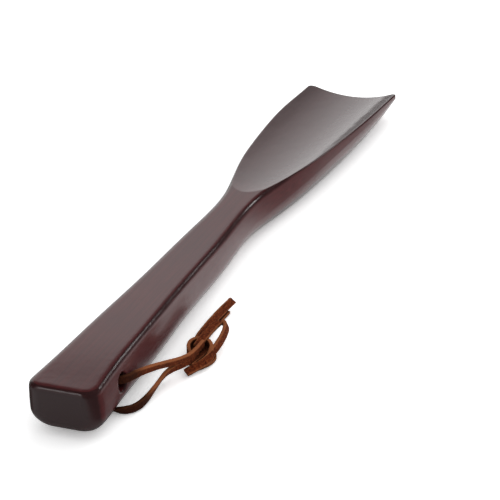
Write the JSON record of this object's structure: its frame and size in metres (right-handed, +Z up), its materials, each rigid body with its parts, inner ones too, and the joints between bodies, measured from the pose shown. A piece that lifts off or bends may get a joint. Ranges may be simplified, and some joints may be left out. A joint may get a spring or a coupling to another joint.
{
  "type": "shoehorn",
  "caption": "Lacquered wooden shoehorn with a tapered flat handle, narrow waist, hollowed flaring blade and a knotted suede hanging lace through a cross bore.",
  "frame": {"origin": "on the surface it lies on, under the middle of the wooden body's length and width", "axes": "+X along the shoehorn from butt to lip, +Y across it, +Z up out of the scoop"},
  "size_m": [0.252, 0.0459, 0.0182],
  "materials": {
    "lacquered_wood": "satin lacquer over dark red-brown stain",
    "suede": "napped suede"
  },
  "bodies": {
    "root": {"shoehorn_body": "lacquered_wood", "thong_wrap": "suede", "thong_knot": "suede", "thong_upper_strand": "suede", "thong_lower_strand": "suede", "thong_bow": "suede", "thong_long_tail": "suede", "thong_short_tail": "suede"}
  },
  "joints": []
}
